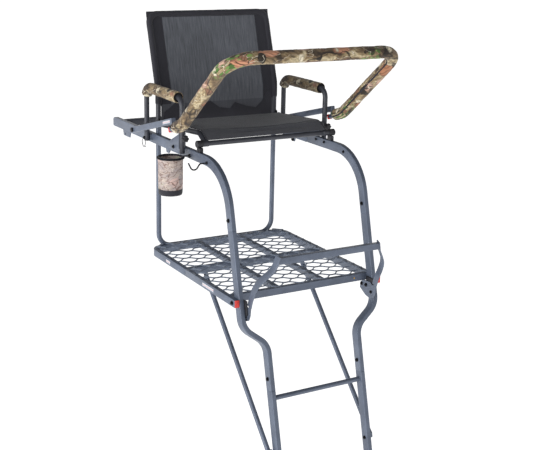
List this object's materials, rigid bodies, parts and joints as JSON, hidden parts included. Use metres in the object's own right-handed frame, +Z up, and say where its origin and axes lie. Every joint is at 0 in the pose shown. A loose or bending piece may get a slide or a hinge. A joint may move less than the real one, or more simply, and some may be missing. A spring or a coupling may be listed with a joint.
{
  "type": "ladder tree stand",
  "caption": "Leaning ladder with a mesh foot platform, flip-up seat, sling back, padded armrests, flip-up padded shooting rail and curved footrest.",
  "frame": {"origin": "centre of the tree bracket's rear face, which rests on the trunk", "axes": "+Z up, +Y towards the tree, -Y towards the climber, +X to the right of someone facing the tree"},
  "size_m": [0.8684, 2.0983, 4.4168],
  "materials": {
    "frame_steel": "satin slate-blue powder coat",
    "dark_steel": "satin dark powder coat",
    "black_plastic": "matte moulded",
    "red_plastic": "semi-gloss moulded",
    "grey_mesh": "coated sling mesh with black hems",
    "camo_cover": "printed leaf-and-bark cover over foam",
    "black_wire": "satin black wire"
  },
  "bodies": {
    "frame": {"side_beam_l": "frame_steel", "side_beam_r": "frame_steel", "arc_tube_l": "frame_steel", "arc_tube_r": "frame_steel", "upright_l": "frame_steel", "upright_r": "frame_steel", "ladder_upper": "frame_steel", "ladder_lower": "frame_steel", "rear_hoop": "frame_steel", "platform_rear": "frame_steel", "platform_front": "frame_steel", "mesh_rear": "frame_steel", "mesh_front": "frame_steel", "brace_l": "frame_steel", "brace_r": "frame_steel", "footrest": "frame_steel", "armrest_l": "frame_steel", "armrest_r": "frame_steel", "tree_bracket": "dark_steel", "back_frame": "dark_steel", "ladder_foot_l": "black_plastic", "ladder_foot_r": "black_plastic", "footrest_shim_l": "black_plastic", "footrest_shim_r": "black_plastic", "seat_bumper_l": "black_plastic", "seat_bumper_r": "black_plastic", "rail_pivot_l": "black_plastic", "rail_pivot_r": "black_plastic", "platform_cap_l": "red_plastic", "platform_cap_r": "red_plastic", "back_sling": "grey_mesh", "arm_pad_l": "camo_cover", "arm_pad_r": "camo_cover", "holder_pouch": "camo_cover", "holder_ring": "black_wire", "gear_hook": "black_wire"},
    "seat": {"seat_frame": "frame_steel", "seat_fabric": "grey_mesh", "seat_grip_l": "black_plastic", "seat_grip_r": "black_plastic"},
    "rail": {"rail_frame": "frame_steel", "rail_pad": "camo_cover", "rail_cap_l": "red_plastic", "rail_cap_r": "red_plastic"},
    "knob_l": {"armrest_knob_l": "black_plastic"},
    "knob_r": {"armrest_knob_r": "black_plastic"},
    "pin_l": {"lock_pin_l": "black_wire"},
    "pin_r": {"lock_pin_r": "black_wire"}
  },
  "joints": [
    {"name": "seat_flip", "type": "hinge", "parent": "frame", "child": "seat", "pos_m": [0, -0.397, 0.055], "axis": [-1, 0, 0], "range_deg": [0, 84]},
    {"name": "rail_flip", "type": "hinge", "parent": "frame", "child": "rail", "pos_m": [0, -0.319, 0.027], "axis": [-1, 0, 0], "range_deg": [0, 80]},
    {"name": "knob_l_turn", "type": "hinge", "parent": "frame", "child": "knob_l", "pos_m": [-0.341, -0.727, 0.059], "axis": [0, -1, 0], "continuous": true},
    {"name": "knob_r_turn", "type": "hinge", "parent": "frame", "child": "knob_r", "pos_m": [0.341, -0.727, 0.059], "axis": [0, -1, 0], "continuous": true},
    {"name": "pin_l_pull", "type": "slide", "parent": "frame", "child": "pin_l", "axis": [-1, 0, 0], "range_m": [0, 0.045]},
    {"name": "pin_r_pull", "type": "slide", "parent": "frame", "child": "pin_r", "axis": [1, 0, 0], "range_m": [0, 0.045]}
  ]
}
